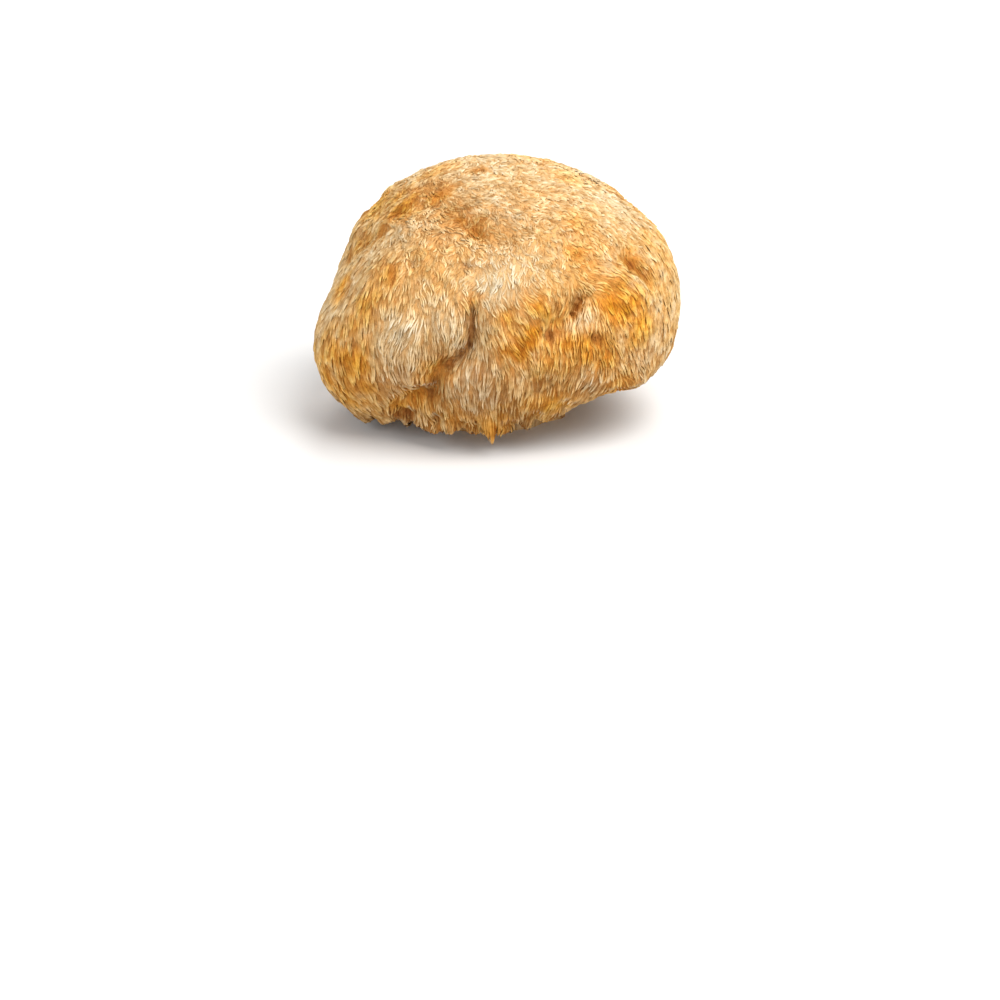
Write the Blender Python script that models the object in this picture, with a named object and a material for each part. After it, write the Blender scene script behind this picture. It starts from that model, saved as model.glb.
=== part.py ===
"""A dried lion's mane mushroom head, cut from the wood it grew on and resting on the cut.

One piece of flesh: a lumpy domed head shingled with drooping spines, a lip where the
spines hang free, a shallow hollow under the lip, and the wrinkled stub of the base.
Metres, +Z up. The origin is the middle of the cut face, and -Y is the head's front.
Directions from the head's centre are (azimuth, elevation) in degrees: azimuth 0 is +X,
the head's right side, and -90 is its front.
"""

import math
import random

import bmesh
import bpy
import numpy as np
from mathutils import Vector
from mathutils.bvhtree import BVHTree

NAME = "fruiting_body"
MM = 0.001

# The head: half sizes of the rounded dome, and how far its centre is above the cut.
HALF_WIDTH = 35.4 * MM
HALF_DEPTH = 31.4 * MM
HALF_HEIGHT = 27.6 * MM
CENTRE_HEIGHT = 24.0 * MM
FULLNESS = 2.25  # 2 is an ellipsoid, more is squarer

# The lip, where the dome turns under. It rises to the right and a little to the back.
LIP_DROP = 16.4 * MM
LIP_SLOPE_RIGHT = 0.17
LIP_SLOPE_BACK = 0.03
LIP_ROUNDING = 3.0 * MM
HOLLOW_DEPTH = 3.2 * MM
HOLLOW_FROM, HOLLOW_TO = -34.0, -44.0  # elevations of the lip and of the stub's foot

# The stub of the base, cut flat at the origin.
STUB_RADIUS = 13.5 * MM
STUB_FILLET = 2.5 * MM
STUB_WRINKLES = ((3, 0.05, 0.4), (7, 0.04, 2.1), (11, 0.02, 4.0))  # count, share, turn
STUB_SPARE = 4.0 * MM  # grown past the cut, then cut off

# Swellings and hollows: what, azimuth, elevation, spread in degrees, height.
LOBES = (
    ("left cheek", 198, -14, 20, 4.6 * MM),
    ("left shoulder hollow", 183, 18, 19, -6.4 * MM),
    ("left of the crown", 165, 55, 20, -1.2 * MM),
    ("right temple", -8, 10, 16, 1.2 * MM),
    ("right cheek", -14, -24, 14, 0.8 * MM),
    ("right shoulder", -2, 48, 18, -0.7 * MM),
    ("front plateau", -89, 24, 12, 1.0 * MM),
    ("pale front lobe", -123, 5, 13, 1.5 * MM),
    ("jaw", -96, -20, 13, 1.2 * MM),
    ("swirl swelling", -40, 14, 12, 1.5 * MM),
    ("back of the crown", 100, 48, 26, 1.6 * MM),
    ("back left swelling", 135, -4, 18, 1.8 * MM),
    ("back middle hollow", 92, 8, 14, -2.2 * MM),
    ("back right swelling", 48, -6, 18, 2.0 * MM),
)
# Waves of the lip: azimuth, spread in degrees, how much further it hangs.
LIP_WAVES = (
    (-158, 15, -1.6 * MM),
    (-138, 12, -0.8 * MM),
    (-112, 13, 1.8 * MM),
    (-86, 12, 2.0 * MM),
    (-46, 14, -1.2 * MM),
    (60, 16, 1.4 * MM),
    (95, 14, -1.2 * MM),
)
# Creases in the flesh: half width in degrees, depth, then the line as directions.
CREASES = (
    (2.6, 1.7 * MM, ((-99, 20), (-99, 2))),
    (4.2, 2.2 * MM, ((-99, 2), (-105, -3), (-113, -9), (-117, -17), (-127, -28))),
    (4.5, 1.4 * MM, ((-149, 14), (-150, 26), (-146, 36), (-150, 47), (-118, 52), (-98, 43))),
    (3.6, 2.2 * MM, ((-59, 17), (-63, 12), (-68, 8))),
    (3.4, 1.4 * MM, ((-38, 25), (-31, 17), (-27, 8))),
    (4.5, 1.8 * MM, ((70, 30), (84, 14), (80, -4), (66, -20))),
    (4.0, 1.6 * MM, ((160, 34), (140, 22), (118, 26))),
    (3.6, 1.5 * MM, ((20, 30), (26, 12), (18, -8))),
)

# Spines. Each raised point stands for a lock of them. The locks are round on the crown
# and drawn out down the sides, and there are none below FUR_EDGE.
LOCK_COUNT = 1380
FUR_EDGE = -33.0  # elevation
STRETCH = 0.45  # how much taller the furred part is than the even lattice it starts as
BARE_POINTS = 520  # points that carry the bare skin of the hollow and the stub
CROWN_RISE, SIDE_RISE = 1.2 * MM, 1.2 * MM
CROWN_DROOP, SIDE_DROOP = 0.4 * MM, 2.6 * MM
FRINGE_HANG = 1.4 * MM
LOCK_SCATTER = 0.010  # how far a lock may grow from its even place, on a sphere of radius 1
LOCK_WANDER = 0.35 * MM
COMBED_ASIDE = (-52, 30, 0.55)  # azimuth, spread and slope of the locks that lean right
LONG_TUFT = (-92, -30)  # the one lock that hangs well below the front of the lip
LONG_TUFT_HANG = 3.0 * MM
PART_ROUNDS, PART_SHRINK = 12, 0.8  # locks that cross are shortened until they part

FLESH_COLOUR = (0.62, 0.40, 0.18, 1.0)
FLESH_ROUGHNESS = 0.85
SMOOTH_WITHIN = math.radians(50)
SEED = 11


def unit(azimuth, elevation):
    """The direction at this azimuth and elevation, in degrees."""
    a, e = math.radians(azimuth), math.radians(elevation)
    return np.array((math.cos(e) * math.cos(a), math.cos(e) * math.sin(a), math.sin(e)))


def bell(distance, spread):
    return np.exp(-0.5 * (distance / spread) ** 2)


def ramp(value, start, end):
    """0 at start and 1 at end, with soft ends."""
    t = np.clip((value - start) / (end - start), 0, 1)
    return t * t * (3 - 2 * t)


def soft_min(a, b, width):
    """The smaller of two lengths, rounded where they cross."""
    mix = np.clip(0.5 + 0.5 * (b - a) / width, 0, 1)
    return b + (a - b) * mix - width * mix * (1 - mix)


def degrees_apart(directions, one):
    return np.degrees(np.arccos(np.clip(directions @ one, -1, 1)))


def degrees_from_line(directions, line):
    """How far each direction is from a line of directions, in degrees."""
    nearest = np.full(len(directions), 180.0)
    for start, end in zip(line, line[1:]):
        a, b = unit(*start), unit(*end)
        along = np.clip((directions - a) @ (b - a) / ((b - a) @ (b - a)), 0, 1)
        on_line = a + along[:, None] * (b - a)
        apart = np.degrees(np.linalg.norm(directions - on_line, axis=1))
        nearest = np.minimum(nearest, apart)
    return nearest


def dome_reach(directions):
    """Distance from the head's centre to the dome, with its swellings and creases."""
    x, y, z = directions.T
    reach = (
        np.abs(x / HALF_WIDTH) ** FULLNESS
        + np.abs(y / HALF_DEPTH) ** FULLNESS
        + np.abs(z / HALF_HEIGHT) ** FULLNESS
    ) ** (-1 / FULLNESS)
    for _, azimuth, elevation, spread, height in LOBES:
        reach += height * bell(degrees_apart(directions, unit(azimuth, elevation)), spread)
    for half_width, depth, line in CREASES:
        reach -= depth * bell(degrees_from_line(directions, line), half_width)
    return reach


def underside_reach(directions):
    """Distance to the surface that cuts the dome off below: the lip and its hollow."""
    x, y, z = directions.T
    azimuth = np.degrees(np.arctan2(y, x))
    elevation = np.degrees(np.arcsin(np.clip(z, -1, 1)))
    drop = LIP_DROP - HOLLOW_DEPTH * ramp(elevation, HOLLOW_FROM, HOLLOW_TO)
    for middle, spread, hang in LIP_WAVES:
        turn = (azimuth - middle + 180) % 360 - 180
        drop = drop + hang * bell(turn, spread)
    slope = -z + LIP_SLOPE_RIGHT * x + LIP_SLOPE_BACK * y
    far = 2 * HALF_WIDTH
    return np.where(slope > drop / far, drop / np.maximum(slope, 1e-6), far)


def stub_reach(directions):
    """Distance to the wrinkled wall of the stub, or to its end below the cut."""
    x, y, z = directions.T
    azimuth = np.arctan2(y, x)
    radius = STUB_RADIUS * (
        1 + sum(share * np.cos(count * azimuth + turn) for count, share, turn in STUB_WRINKLES)
    )
    wall = radius / np.maximum(np.hypot(x, y), 1e-6)
    end = (CENTRE_HEIGHT + STUB_SPARE) / np.maximum(-z, 1e-6)
    return np.where(z < 0, np.minimum(wall, end), 0)


def flesh_reach(directions):
    head = soft_min(dome_reach(directions), underside_reach(directions), LIP_ROUNDING)
    return -soft_min(-head, -stub_reach(directions), STUB_FILLET)


def even_directions(count, top, bottom):
    """Directions spread evenly along one spiral, from one height to another (1 to -1)."""
    steps = (np.arange(count) + 0.5) / count
    z = top + (bottom - top) * steps
    turn = math.pi * (1 + math.sqrt(5)) * np.arange(count)
    across = np.sqrt(1 - z * z)
    return np.stack([across * np.cos(turn), across * np.sin(turn), z], axis=1)


def hull_of(directions):
    """A bmesh of the convex hull of directions, whose vertices keep their order."""
    bm = bmesh.new()
    for direction in directions:
        bm.verts.new(direction)
    bmesh.ops.convex_hull(bm, input=list(bm.verts), use_existing_faces=False)
    bm.verts.ensure_lookup_table()
    return bm


def lock_lattice():
    """A sphere of triangles in which each lock's point has a ring of low points round it.

    It is made even and then drawn out downwards, so the locks get longer down the sides.
    """
    fur_angle = (90 - FUR_EDGE) / (1 + STRETCH)
    fur_edge = math.cos(math.radians(fur_angle))
    peaks = even_directions(LOCK_COUNT, 1, fur_edge)
    rng = np.random.default_rng(SEED)
    peaks += rng.uniform(-LOCK_SCATTER, LOCK_SCATTER, peaks.shape)
    peaks /= np.linalg.norm(peaks, axis=1)[:, None]
    bare = even_directions(BARE_POINTS, fur_edge - 0.03, -1)
    cells = hull_of(np.concatenate([peaks, bare]))
    furred = [f for f in cells.faces if all(v.index < LOCK_COUNT for v in f.verts)]
    lows = np.array([f.calc_center_median().normalized() for f in furred])
    cells.free()
    bm = hull_of(np.concatenate([peaks, lows, bare]))
    for v in bm.verts:
        angle = math.degrees(math.acos(max(-1, min(1, v.co.z))))
        if angle < fur_angle:
            drawn = angle * (1 + STRETCH * angle / fur_angle)
        else:
            drawn = 180 - (90 + FUR_EDGE) * (180 - angle) / (180 - fur_angle)
        across = Vector((v.co.x, v.co.y, 0)).normalized() * math.sin(math.radians(drawn))
        v.co = (across.x, across.y, math.cos(math.radians(drawn)))
    return bm


def place_on_flesh(bm):
    directions = np.array([v.co for v in bm.verts])
    reach = flesh_reach(directions)
    for v, direction, distance in zip(bm.verts, directions, reach):
        v.co = Vector(direction * distance) + Vector((0, 0, CENTRE_HEIGHT))
    bm.normal_update()
    return directions


def crossing_locks(bm):
    """Which locks have a face that passes through another face."""
    bm.faces.ensure_lookup_table()
    tree = BVHTree.FromBMesh(bm)
    crossing = set()
    for a, b in tree.overlap(tree):
        corners = [v.index for f in (a, b) for v in bm.faces[f].verts]
        if len(set(corners)) == 6:
            crossing.update(i for i in corners if i < LOCK_COUNT)
    return sorted(crossing)


def grow_locks(bm, directions):
    """Pulls each lock's point out of the flesh and combs it down."""
    rng = random.Random(SEED)
    peaks = directions[:LOCK_COUNT]
    tuft = int(np.argmin(degrees_apart(peaks, unit(*LONG_TUFT))))
    middle, spread, slope = COMBED_ASIDE
    moves = []
    for i, (x, y, z) in enumerate(peaks):
        azimuth = math.degrees(math.atan2(y, x))
        elevation = math.degrees(math.asin(z))
        side = float(ramp(elevation, 60, 10))
        aside = slope * float(bell(azimuth - middle, spread)) * side
        down = Vector((aside, 0, -1)).normalized()
        normal = bm.verts[i].normal
        fall = (down - normal * down.dot(normal)).normalized()
        rise = CROWN_RISE + (SIDE_RISE - CROWN_RISE) * side
        droop = CROWN_DROOP + (SIDE_DROOP - CROWN_DROOP) * side
        hang = FRINGE_HANG * float(ramp(elevation, -22, FUR_EDGE))
        length = rng.uniform(0.75, 1.2)
        wander = Vector([rng.uniform(-1, 1) for _ in range(3)]) * LOCK_WANDER
        move = (normal * rise + fall * droop) * length + wander
        move.z -= hang * length + (LONG_TUFT_HANG if i == tuft else 0)
        moves.append(move)
    for v, move in zip(bm.verts, moves):
        v.co += move
    for _ in range(PART_ROUNDS):
        for i in crossing_locks(bm):
            bm.verts[i].co -= moves[i] * (1 - PART_SHRINK)
            moves[i] = moves[i] * PART_SHRINK


def cut_from_wood(bm):
    """Cuts the stub off flat at the origin's height and closes the cut."""
    cut = bmesh.ops.bisect_plane(
        bm,
        geom=list(bm.verts) + list(bm.edges) + list(bm.faces),
        plane_co=(0, 0, 0),
        plane_no=(0, 0, -1),
        clear_outer=True,
    )
    rim = [item for item in cut["geom_cut"] if isinstance(item, bmesh.types.BMEdge)]
    bmesh.ops.edgeloop_fill(bm, edges=rim)
    bmesh.ops.triangulate(bm, faces=[f for f in bm.faces if len(f.verts) > 3])
    bmesh.ops.recalc_face_normals(bm, faces=list(bm.faces))


def flesh_material():
    material = bpy.data.materials.new("dried_flesh")
    material.use_nodes = True
    shader = material.node_tree.nodes["Principled BSDF"]
    shader.inputs["Base Color"].default_value = FLESH_COLOUR
    shader.inputs["Roughness"].default_value = FLESH_ROUGHNESS
    shader.inputs["Metallic"].default_value = 0.0
    material.diffuse_color = FLESH_COLOUR
    return material


def clear_scene():
    for obj in list(bpy.data.objects):
        bpy.data.objects.remove(obj, do_unlink=True)


def main():
    clear_scene()
    bm = lock_lattice()
    directions = place_on_flesh(bm)
    grow_locks(bm, directions)
    cut_from_wood(bm)
    mesh = bpy.data.meshes.new(NAME)
    bm.to_mesh(mesh)
    bm.free()
    mesh.materials.append(flesh_material())
    mesh.shade_smooth()
    mesh.set_sharp_from_angle(angle=SMOOTH_WITHIN)
    collection = bpy.data.collections.new("lions_mane_mushroom")
    bpy.context.scene.collection.children.link(collection)
    collection.objects.link(bpy.data.objects.new(NAME, mesh))


main()
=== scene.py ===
"""The looks of a dried lion's mane mushroom head, on a pale floor in soft light.

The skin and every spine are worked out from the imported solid. Folds, combing and colours
that the photograph shows are placed by its pixels, in its 1000 by 1000 frame: a ray from
the camera through the pixel finds the place on the head, and the mark stays there from
every side. Lengths are in metres where nothing else is said, and directions from the
head's centre are (azimuth, elevation) in degrees, with azimuth 0 along +X and -90 towards
the camera.
"""

import itertools
import math

import bmesh
import bpy
import numpy as np
from mathutils import Euler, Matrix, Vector, noise
from mathutils.bvhtree import BVHTree
from mathutils.kdtree import KDTree


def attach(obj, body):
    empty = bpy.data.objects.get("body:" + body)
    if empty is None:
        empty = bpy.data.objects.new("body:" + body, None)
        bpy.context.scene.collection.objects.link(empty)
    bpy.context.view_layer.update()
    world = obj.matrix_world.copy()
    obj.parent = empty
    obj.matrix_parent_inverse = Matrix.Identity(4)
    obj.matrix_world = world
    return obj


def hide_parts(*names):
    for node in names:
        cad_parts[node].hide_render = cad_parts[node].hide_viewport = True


MM = 0.001
NODE = "fruiting_body"
RNG = np.random.default_rng(7)
DOWN = np.array((0.0, 0.0, -1.0))
LEVEL = np.array((1.0, 1.0, 0.0))

# Seeds of the noise fields, and how far apart two of them lie, in lumps.
WHORLS, SWERVES, BLOTCHES, SPECKS, FINE_SWERVES, LOW_EDGE, HIGH_EDGE = range(1, 8)
FELT_EDGE, CLUMPS = 8, 9
FIELD_SHIFT = (17.3, 5.1, 9.7)

# The head in the solid: its centre, and the elevation where its fur ends.
HEAD_CENTRE = Vector((0, 0, 24 * MM))
CENTRE = np.array(HEAD_CENTRE)
FUR_EDGE = -33.0
SKIN_EDGE = FUR_EDGE - 3  # of the last spines and the skin under them
FUR_FADE = (FUR_EDGE - 2, FUR_EDGE + 6)  # between these its relief sets in

# The photograph's camera.
PHOTO_PIXELS = 1000
PIXEL_SIZE = 0.2065 * MM  # at the head
HEAD_PIXEL = (497, 300)  # where the head's centre is in the photograph
CAMERA_ELEVATION = math.radians(22)
CAMERA_DISTANCE = 750 * MM
SENSOR = 36.0  # millimetres, Blender's own unit for it

# Spines. Pairs are for the sides, where they hang, and the crown, where they are felted.
CANDIDATES = 120000  # places that are tried as roots
SPACING = (0.52 * MM, 0.405 * MM)
LENGTH, LIP_LENGTH = (3.7 * MM, 1.95 * MM), 3.4 * MM
LIP_FROM = -12  # elevation below which the lip's length sets in
LIP_EVENNESS = 0.6  # how much less its lengths differ
RADIUS = (0.21 * MM, 0.23 * MM)
PILE = (0.68 * MM, 0.44 * MM)  # thickness of their layer
WANDER = (8, 46)  # degrees that they stray from their way
CURL = (11, 28)  # degrees that they bend to and fro
LOCK = (0.88 * MM, 0.72 * MM)  # spacing of the locks, whose spines lean together
PULL, LIP_PULL = (0.55, 0.45), 0.05  # how far a lock draws together
LIP_PULL_FROM = -14  # elevation
FELTED_ABOVE, HANGING_BELOW = 36, 12  # elevations
FELT_RAGGED, FELT_PATCH = 14, 9 * MM  # how far that border strays, and its lobes
SPINE_SIDES, SPINE_RINGS = 3, 6
TAPER = (0.8, 1.0, 1.0, 0.94, 0.82, 0.60)  # share of the radius at each ring, root first
RISE = (-0.2, 0.28, 0.56, 0.76, 0.90, 0.98, 1.0)  # share of its height at each ring and tip
SOFTNESS = 0.65  # how far the shading of a spine leans to that of the surface under it
LOWEST = 0.5 * MM  # of any spine above the cut
SUNK = 0.75  # how much lower the spines lie in the folds that are marked as shade

# How single spines differ, from the least to the most.
LENGTHS, RADII, CURLS = (0.7, 1.25), (0.75, 1.2), (0.4, 1.4)  # shares of the usual
TOPS = (0.2, 1.0)  # heights of their tips in the layer
WAVES = (4.5, 8.0)  # radians of the curl's wave from root to tip
STRAYS, STRAY_RISE = 0.05, 0.5  # how many stand off the layer, and how far

# The lip's edge, by how far the surface faces down. Spines from above hang free there, and
# those from below follow the surface inwards.
ABOVE_EDGE = (0.25, 0.55)
AT_EDGE = (0.45, 0.85)
UNDERSIDE = (0.4, 0.8)
HANG, HANG_DRIFT = 0.06, 0.12  # how far, as a share of a step, and how much of it outwards
LIP_HIGHLIGHT_FRONT = (0.0, -14 * MM)  # along Y, between which the painted highlight on the lip's edge sets in, on the lit front

# Combing: how much each part of a spine's way counts beside a stroke of the photograph.
WHORL_SIZE, WHORL_TURN = 11 * MM, math.pi * 2.2
LEAST_WHORL, FELT_WHORL = 0.10, 0.55
INWARD, UNCOMBED = 1.6, 0.22
# Degrees by which that way swerves, at the sides and the crown, and the size of its lumps.
SWERVE, SWERVE_SIZE = (9, 48), 2.1 * MM
FINE_SWERVE, FINE_SWERVE_SIZE = (14, 34), 0.9 * MM


# ---- small tools


def unit(azimuth, elevation):
    a, e = math.radians(azimuth), math.radians(elevation)
    return np.array((math.cos(e) * math.cos(a), math.cos(e) * math.sin(a), math.sin(e)))


def bell(distance, spread):
    return np.exp(-0.5 * (distance / spread) ** 2)


def ramp(value, start, end):
    """0 at start and 1 at end, with soft ends."""
    t = np.clip((value - start) / (end - start), 0, 1)
    return t * t * (3 - 2 * t)


def mix(a, b, share):
    return a + (b - a) * share


def dot(a, b):
    return np.sum(a * b, axis=-1, keepdims=True)


def normalised(vectors):
    return vectors / np.maximum(np.linalg.norm(vectors, axis=-1, keepdims=True), 1e-12)


def flattened(vectors, normals):
    """The part of each vector that lies in the surface."""
    return vectors - normals * dot(vectors, normals)


def turned(way, normals, angle):
    """The way turned in the surface, by an angle for each."""
    return way * np.cos(angle)[:, None] + np.cross(normals, way) * np.sin(angle)[:, None]


def field(points, scale, seed):
    """Smooth noise from -1 to 1 at each point. scale is the size of its lumps."""
    shift = Vector([seed * part for part in FIELD_SHIFT])
    return np.array([noise.noise(Vector(p) / scale + shift) for p in points])


def from_line(points, line):
    """The distance of each point from the line through these places."""
    nearest = np.full(len(points), np.inf)
    for start, end in zip(line, line[1:]):
        way = end - start
        share = np.clip((points - start) @ way / (way @ way), 0, 1)
        beside = np.linalg.norm(points - start - share[:, None] * way, axis=1)
        nearest = np.minimum(nearest, beside)
    return nearest


def elevation_of(points):
    out = normalised(points - CENTRE)
    return np.degrees(np.arcsin(np.clip(out[:, 2], -1, 1)))


def azimuth_of(points):
    return np.degrees(np.arctan2(points[:, 1], points[:, 0]))


def link(name, data):
    obj = bpy.data.objects.new(name, data)
    bpy.context.scene.collection.objects.link(obj)
    return obj


# ---- the camera's place

CAMERA_RIGHT = Vector((1, 0, 0))
CAMERA_UP = Vector((0, math.sin(CAMERA_ELEVATION), math.cos(CAMERA_ELEVATION)))
CAMERA_AHEAD = Vector((0, math.cos(CAMERA_ELEVATION), -math.sin(CAMERA_ELEVATION)))
CAMERA_PLACE = (
    HEAD_CENTRE
    - CAMERA_RIGHT * (HEAD_PIXEL[0] - PHOTO_PIXELS / 2) * PIXEL_SIZE
    - CAMERA_UP * (PHOTO_PIXELS / 2 - HEAD_PIXEL[1]) * PIXEL_SIZE
    - CAMERA_AHEAD * CAMERA_DISTANCE
)


def seen_at(tree, x, y):
    """The place on the head that the photograph shows at this pixel.

    For a pixel just beside the surface it is the edge that is nearest to it.
    """
    across = (x - PHOTO_PIXELS / 2) * PIXEL_SIZE
    above = (PHOTO_PIXELS / 2 - y) * PIXEL_SIZE
    ray = CAMERA_AHEAD * CAMERA_DISTANCE + CAMERA_RIGHT * across + CAMERA_UP * above
    ray.normalize()
    hit = tree.ray_cast(CAMERA_PLACE, ray)[0]
    if hit is None:
        beside = CAMERA_PLACE + ray * (HEAD_CENTRE - CAMERA_PLACE).dot(ray)
        hit = tree.find_nearest(beside)[0]
    return np.array(hit)


def out_at(tree, azimuth, elevation):
    """The place on the head in this direction from its centre."""
    return np.array(tree.ray_cast(HEAD_CENTRE, Vector(unit(azimuth, elevation)))[0])


def in_photo(angle):
    """The direction in space of a stroke at this angle in the photograph."""
    a = math.radians(angle)
    return np.array(CAMERA_RIGHT * math.cos(a) - CAMERA_UP * math.sin(a))


# ---- what the photograph shows

# Folds and pits pressed into the form: half width and depth in millimetres, then pixels.
# A negative depth is a ridge.
FOLDS = (
    (0.7, 1.8, (473, 309), (471, 322), (470, 338), (469, 347)),
    (1.7, 2.4, (457, 359), (450, 364), (438, 370), (431, 380), (432, 392), (419, 396)),
    (0.7, 0.8, (462, 356), (446, 366)),
    (0.8, 0.9, (436, 386), (431, 394)),
    (1.1, 1.3, (410, 394), (400, 400), (395, 408)),
    (0.8, 1.6, (399, 413), (407, 412)),
    (0.65, 2.0, (582, 299), (576, 306), (573, 315)),
    (1.0, 1.1, (553, 312), (557, 319), (553, 326)),
    (0.8, 1.7, (548, 335), (548, 339)),
    (0.7, 1.4, (595, 336), (595, 340)),
    (0.9, 0.6, (626, 260), (631, 269), (640, 274), (646, 283)),
    (0.9, 0.8, (611, 303), (614, 313)),
    (0.9, 0.9, (623, 309), (628, 318)),
    (1.3, 0.6, (431, 190), (440, 205), (460, 219), (470, 230), (478, 235)),
    (1.3, 0.5, (478, 235), (491, 244), (503, 240)),
    (1.5, 0.6, (387, 231), (375, 240), (364, 247)),
    (1.0, 0.7, (395, 213), (401, 215)),
    (1.0, 0.8, (412, 262), (413, 267)),
    (0.9, 0.8, (452, 265), (454, 268)),
    (1.0, 0.9, (466, 265), (469, 268)),
    (1.4, 0.9, (570, 250), (577, 253), (595, 265)),
    (1.2, 0.8, (508, 314), (510, 330)),
    (1.2, 0.9, (533, 380), (536, 396)),
    (1.4, 0.8, (549, 384), (553, 391)),
    (1.6, 0.8, (345, 288), (340, 300)),
    (1.2, -1.0, (386, 343), (398, 333), (411, 328)),
    (1.4, -0.7, (447, 322), (450, 336)),
    (1.2, -0.8, (587, 316), (586, 328)),
    (1.0, -0.8, (620, 279), (633, 282), (640, 292)),
    (1.4, -0.7, (418, 383), (432, 386)),
    (1.6, -0.7, (390, 224), (402, 226), (412, 232)),
    (1.2, -0.6, (541, 307), (548, 312)),
    (3.0, -1.2, (386, 203), (374, 214), (364, 227)),
    (2.4, -1.3, (628, 383), (642, 379), (652, 370)),
    (0.9, 1.3, (411, 424), (411, 416)),
    (0.9, 1.9, (436, 428), (437, 421)),
    (0.9, 1.2, (463, 431), (464, 425)),
    (0.9, 1.3, (479, 433), (478, 427)),
    (0.9, 1.5, (513, 434), (513, 427)),
    (0.8, 1.0, (538, 423), (537, 417)),
    (0.8, 1.0, (566, 409), (563, 403)),
    (0.8, 0.6, (588, 396), (586, 390)),
    (1.3, -0.7, (423, 431), (424, 425)),
    (1.3, -0.7, (451, 434), (451, 427)),
    (1.1, -0.5, (505, 438), (505, 431)),
    (1.1, -1.3, (492, 441), (492, 430)),
)
# The same on the hidden sides, by direction.
HIDDEN_FOLDS = (
    (1.5, 1.6, (70, 30), (84, 14), (80, -4), (66, -20)),
    (1.5, 1.2, (146, 24), (134, 20), (116, 26)),
    (1.2, 1.3, (20, 30), (26, 12), (18, -8)),
    (1.3, 1.2, (176, 12), (184, -2), (178, -16)),
    (1.0, 1.8, (102, 10), (99, 6)),
    (1.0, 1.6, (46, 16), (44, 11)),
    (1.0, 1.4, (148, -4), (146, -9)),
    (1.4, -0.8, (58, 8), (52, 2), (40, 0)),
    (1.4, -0.8, (112, 0), (120, 8), (132, 6)),
    (1.4, -0.7, (190, 4), (196, -4)),
)
# Where strands run: pixel, and the angle that they run at, with 0 to the right and 90
# straight down. Elsewhere they run downhill.
STROKES = (
    (420, 180, 15), (445, 172, 15), (465, 186, 25), (490, 184, 35), (510, 196, 45), (535, 185, 35),
    (560, 180, 40), (585, 190, 45), (605, 200, 45), (405, 205, 95), (392, 226, 55), (375, 222, 110),
    (362, 235, 115), (430, 210, 90), (455, 200, 30), (480, 205, 25), (505, 213, 50), (530, 206, 40),
    (522, 230, 70), (580, 230, 45), (598, 222, 45), (618, 225, 40), (640, 235, 50), (655, 252, 65),
    (575, 250, 50), (600, 250, 55), (622, 246, 50), (570, 270, 45), (590, 278, 40), (610, 268, 20),
    (545, 262, 60), (520, 262, 90), (500, 258, 95), (480, 250, 65), (455, 248, 85), (430, 255, 90),
    (410, 262, 85), (385, 255, 95), (350, 262, 110), (640, 258, 35), (662, 275, 80), (628, 266, 90),
    (637, 272, 10), (646, 282, 65), (602, 288, -15), (618, 284, 0), (633, 289, 35), (643, 300, 60),
    (652, 318, 75), (612, 302, 80), (627, 312, 60), (613, 323, 60), (625, 330, 60), (641, 328, 62),
    (634, 348, 60), (644, 360, 50), (627, 362, 50), (653, 345, 80), (640, 375, 40), (612, 345, 55),
    (600, 335, 60), (601, 360, 80), (588, 357, 88), (570, 365, 94), (555, 380, 98), (545, 400, 100),
    (574, 386, 102), (584, 384, 118), (590, 310, 95), (586, 326, 92), (570, 302, 100),
    (565, 315, 95), (575, 332, 88), (505, 322, 75), (515, 322, 60), (525, 345, 52), (515, 352, 60),
    (535, 308, 20), (548, 312, 65), (553, 326, 100), (530, 330, 70), (545, 352, 85), (560, 345, 80),
    (495, 390, 98), (404, 331, 145), (389, 342, 128), (420, 326, 92), (440, 318, 82),
    (451, 328, 86), (425, 385, 60), (412, 372, 90), (448, 385, 85), (430, 370, 105), (395, 365, 92),
    (412, 355, 86), (378, 365, 92), (432, 350, 92), (440, 405, 92), (460, 385, 90), (466, 330, 96),
    (476, 330, 88), (385, 300, 93), (395, 310, 92), (350, 320, 95), (374, 322, 93), (340, 315, 98),
    (346, 370, 90), (362, 388, 86), (375, 345, 94), (350, 300, 102), (335, 340, 98), (330, 370, 86),
    (345, 395, 62), (365, 405, 65), (385, 410, 80), (400, 404, 100), (372, 300, 96), (360, 340, 92),
    (345, 272, 108),
)
STROKE_REACH = 2.6 * MM
# A ring of strands: pixel of its middle, radius in pixels, and degrees between its strokes.
RING, RING_STEP = (549, 223, 8), 45
RING_REACH = STROKE_REACH * 0.4

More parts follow.
